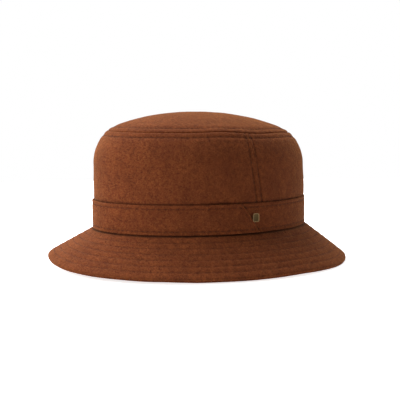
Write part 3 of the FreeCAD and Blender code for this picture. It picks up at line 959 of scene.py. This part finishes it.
# Sweatband: a folded strip of cotton twill, 33 mm tall, sewn in at the brim's root. Its
# upper edge is a soft fold and stands free of the lining.
sweat_low, sweat_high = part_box("sweatband")
sweat_thickness = 1.2 * MM
sweat_depth = half_wide - sweat_high[0]
sweat_foot = sweat_low[2] - wall_foot_z
sweat_top = sweat_high[2] - wall_foot_z
sweat_row_run = sweat_foot + 3.7 * MM
sweat_fold = 0.55 * MM
sweat_lean = 0.1 * MM
sweat_sunk = 0.2 * MM
sweat_lumps = ((0.25, 24.0, 12.5),)


def sweat_point(angle, run):
    """A point of the plain upright wall that the sweatband lies along."""
    place = (math.cos(angle) * half_wide, math.sin(angle) * half_long, run)
    share = max(0.0, run - sweat_foot) / (sweat_top - sweat_foot)
    out = share * (lumps(place, sweat_lumps) - sweat_lean)
    return Vector(((half_wide + out) * math.cos(angle),
                   (half_long + out) * math.sin(angle), wall_foot_z + run))


def sweat_relief(angle, run, depth):
    """A groove at the row that sews the band in, on the side that shows."""
    face = max(0.0, (depth - sweat_depth) / sweat_thickness)
    pucker = 0.75 + 0.25 * puckers(angle, 5.2 * MM)
    return face * 0.35 * MM * dip(run - sweat_row_run, 0.8 * MM) * pucker


def twill_material():
    """Cotton twill: matt, a little darker with wear, with slanting ribs. Real ribs are
    0.9 mm apart, so they are drawn 2 mm apart to show."""
    material, tree = new_material("cotton_twill")
    place = add_node(tree, "ShaderNodeTexCoord", {}, {}).outputs["Object"]
    rib = add_node(tree, "ShaderNodeTexWave", {"bands_direction": "DIAGONAL"}, {
        "Vector": place, "Scale": wave_scale(2.0 * MM), "Distortion": 0.5, "Detail": 1.0,
    }).outputs["Fac"]
    soil = add_node(tree, "ShaderNodeTexNoise", {}, {
        "Vector": place, "Scale": 1.0 / (14.0 * MM), "Detail": 3.0,
    }).outputs["Fac"]
    tone = add_node(tree, "ShaderNodeMath", {"operation": "MULTIPLY_ADD"},
                    {0: rib, 1: 0.35, 2: soil}).outputs[0]
    colour = add_node(tree, "ShaderNodeMix", {"data_type": "RGBA"},
                      {0: tone, 6: linear("#3E2417"), 7: linear("#6B4330")}).outputs[2]
    finish_surface(tree, colour, {
        "Roughness": 0.88, "Specular IOR Level": 0.25, "Sheen Weight": 0.15,
    }, (rib, 0.5, 0.15 * MM))
    return material


sweat_outline = strip_outline(sweat_foot + 1.0 * MM, sweat_top, sweat_depth,
                              sweat_depth + sweat_thickness,
                              (0.0, sweat_fold, sweat_fold, 0.0), (6.0 * MM, 1.2 * MM))
sweat = lay_strip(sweat_outline, 0.0, math.tau, ring_steps)
wrap_cloth(sweat, sweat_point, sweat_relief)
finish_piece(sweat, "dressed_sweatband", twill_material(), ["sweatband"])


def sweat_inner_point(angle, run):
    """A point of the sweatband's inner face, seen from inside the hat."""
    here, normal = surface_normal(sweat_point, angle, run)
    return here - normal * (sweat_depth + sweat_thickness)


sweat_thread = bmesh.new()
sew_row(sweat_thread, sweat_inner_point, ring_places(sweat_row_run, band_length), -sweat_sunk)
finish_piece(sweat_thread, "dressed_sweatband_stitches", sewing_thread,
             ["sweatband_stitches"])

# Size tab: a blank tab of dense woven satin that hangs inside the back, sewn along its
# top edge to the sweatband, about which it flips up. Its cut edges are heat sealed.
tab_low, tab_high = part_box("size_tab")
tab_thickness = 0.4 * MM
tab_curl = 1.6 * MM
tab_ripple = 0.3 * MM
tab_ripple_pitch = 7.0 * MM


def tab_material():
    """Woven satin tape: pale and smooth, with a crosswise rib. Real ribs are 0.3 mm
    apart, so they are drawn 1.2 mm apart to show."""
    material, tree = new_material("woven_satin_tape")
    place = add_node(tree, "ShaderNodeTexCoord", {}, {}).outputs["Object"]
    rib = add_node(tree, "ShaderNodeTexWave", {"bands_direction": "Z"}, {
        "Vector": place, "Scale": wave_scale(1.2 * MM), "Distortion": 0.2,
    }).outputs["Fac"]
    colour = add_node(tree, "ShaderNodeMix", {"data_type": "RGBA"},
                      {0: rib, 6: linear("#C6BBA4"), 7: linear("#D8CEB9")}).outputs[2]
    finish_surface(tree, colour, {
        "Roughness": 0.5, "Specular IOR Level": 0.4, "Sheen Weight": 0.1,
    }, (rib, 0.4, 0.1 * MM))
    return material


tab = bmesh.new()
tab_size = [high - low for low, high in zip(tab_low, tab_high)]
tab_middle = [(high + low) / 2.0 for low, high in zip(tab_low, tab_high)]
tab_verts = bmesh.ops.create_grid(tab, x_segments=16, y_segments=16, size=0.5)["verts"]
bmesh.ops.rotate(tab, verts=tab_verts, cent=(0.0, 0.0, 0.0),
                 matrix=Matrix.Rotation(math.pi / 2.0, 3, "X"))
bmesh.ops.scale(tab, verts=tab_verts, vec=(tab_size[0], 1.0, tab_size[2]))
bmesh.ops.solidify(tab, geom=tab.faces[:], thickness=tab_thickness)
bmesh.ops.translate(tab, verts=tab.verts[:], vec=tab_middle)
for vert in tab.verts:
    hang = (tab_high[2] - vert.co.z) / tab_size[2]
    vert.co.y -= tab_curl * hang * hang
    vert.co.y -= tab_ripple * math.sin(vert.co.x / tab_ripple_pitch) * hang
tab_piece = finish_piece(tab, "dressed_size_tab", tab_material(),
                         ["size_tab"], "tab")

# Studio: a white paper floor that keeps the hat's soft shadow and is clear from beneath,
# a large soft lamp on the left, one above, two at the back for the rims, a weak one at
# the front and one beneath for the inside of the hat, and a camera 0.9 m away.
camera_turn = math.radians(57.3)
camera_distance = 0.900
camera_height = root_z + 0.1025
camera_tilt = math.radians(5.06)
camera_roll = math.radians(-0.6)
camera_lens = 84.6
floor_radius = 1.2
paper_glow = 0.8
room_light = 0.16
lamp_target = Vector((0.0, 0.0, 0.08))

floor_bm = bmesh.new()
bmesh.ops.create_circle(floor_bm, cap_ends=True, segments=64, radius=floor_radius)
floor_mesh = bpy.data.meshes.new("studio_floor")
floor_bm.to_mesh(floor_mesh)
floor_bm.free()
floor = bpy.data.objects.new("studio_floor", floor_mesh)
bpy.context.scene.collection.objects.link(floor)


def studio_white(tree, rays):
    """One for the rays that should find a white studio: camera, glossy and transmission."""
    seen = rays["Is Camera Ray"]
    for kind in ("Is Glossy Ray", "Is Transmission Ray"):
        seen = add_node(tree, "ShaderNodeMath", {"operation": "MAXIMUM"},
                        {0: seen, 1: rays[kind]}).outputs[0]
    return seen


paper, paper_tree = new_material("white_studio_paper")
paper_rays = add_node(paper_tree, "ShaderNodeLightPath", {}, {}).outputs
matt = add_node(paper_tree, "ShaderNodeBsdfDiffuse", {}, {"Color": linear("#F4F4F4")})
glow = add_node(paper_tree, "ShaderNodeEmission", {},
                {"Color": linear("#FFFFFF"), "Strength": paper_glow})
shown = add_node(paper_tree, "ShaderNodeAddShader", {},
                 {0: matt.outputs[0], 1: glow.outputs[0]})
sheet = add_node(paper_tree, "ShaderNodeMixShader", {},
                 {0: studio_white(paper_tree, paper_rays),
                  1: matt.outputs[0], 2: shown.outputs[0]})
beneath = add_node(paper_tree, "ShaderNodeNewGeometry", {}, {}).outputs["Backfacing"]
passed = add_node(paper_tree, "ShaderNodeMath", {"operation": "MAXIMUM"},
                  {0: beneath, 1: paper_rays["Is Shadow Ray"]}).outputs[0]
clear = add_node(paper_tree, "ShaderNodeBsdfTransparent", {}, {})
one_way = add_node(paper_tree, "ShaderNodeMixShader", {},
                   {0: passed, 1: sheet.outputs[0], 2: clear.outputs[0]})
add_node(paper_tree, "ShaderNodeOutputMaterial", {}, {"Surface": one_way.outputs[0]})
floor_mesh.materials.append(paper)

world = bpy.data.worlds.new("studio_world")
world.use_nodes = True
world.node_tree.nodes.clear()
rays = add_node(world.node_tree, "ShaderNodeLightPath", {}, {}).outputs
strength = add_node(world.node_tree, "ShaderNodeMapRange", {}, {
    "Value": studio_white(world.node_tree, rays), "To Min": room_light, "To Max": 1.0,
}).outputs["Result"]
sky = add_node(world.node_tree, "ShaderNodeBackground", {},
               {"Color": linear("#FFFFFF"), "Strength": strength})
add_node(world.node_tree, "ShaderNodeOutputWorld", {}, {"Surface": sky.outputs[0]})
bpy.context.scene.world = world

camera_right = Vector((math.cos(camera_turn), math.sin(camera_turn), 0.0))
camera_back = Vector((math.sin(camera_turn), -math.cos(camera_turn), 0.0))


def soft_lamp(name, right, back, up, size, power):
    """A square area lamp placed from the camera's point of view, facing the hat."""
    data = bpy.data.lights.new(name, "AREA")
    data.shape = "SQUARE"
    data.size = size
    data.energy = power
    lamp = bpy.data.objects.new(name, data)
    place = camera_right * right + camera_back * back + Vector((0.0, 0.0, up))
    turn = (lamp_target - place).to_track_quat("-Z", "Y")
    lamp.matrix_world = Matrix.LocRotScale(place, turn, None)
    bpy.context.scene.collection.objects.link(lamp)


soft_lamp("key_left", -1.6, 0.45, 0.9, 1.0, 25.5)
soft_lamp("top", -0.42, -0.65, 1.7, 1.4, 38.0)
soft_lamp("rim_left", -1.3, -1.5, 0.7, 1.0, 10.0)
soft_lamp("rim_right", 1.2, -1.2, 1.0, 1.0, 6.0)
soft_lamp("front_fill", 0.3, 1.9, 0.9, 1.4, 1.4)
soft_lamp("beneath", 0.0, 0.0, -1.2, 1.0, 12.0)

forward = -camera_back * math.cos(camera_tilt) - Vector((0.0, 0.0, math.sin(camera_tilt)))
level_up = camera_right.cross(forward)
roll_cos, roll_sin = math.cos(camera_roll), math.sin(camera_roll)
axis_right = camera_right * roll_cos + level_up * roll_sin
axis_up = level_up * roll_cos - camera_right * roll_sin
camera_data = bpy.data.cameras.new("studio_camera")
camera_data.lens = camera_lens
camera_data.sensor_width = 36.0
camera = bpy.data.objects.new("studio_camera", camera_data)
turned = Matrix((axis_right, axis_up, -forward)).transposed().to_4x4()
eye = camera_back * camera_distance + Vector((0.0, 0.0, camera_height))
camera.matrix_world = Matrix.Translation(eye) @ turned
bpy.context.scene.collection.objects.link(camera)
bpy.context.scene.camera = camera
bpy.context.scene.view_settings.view_transform = "Standard"
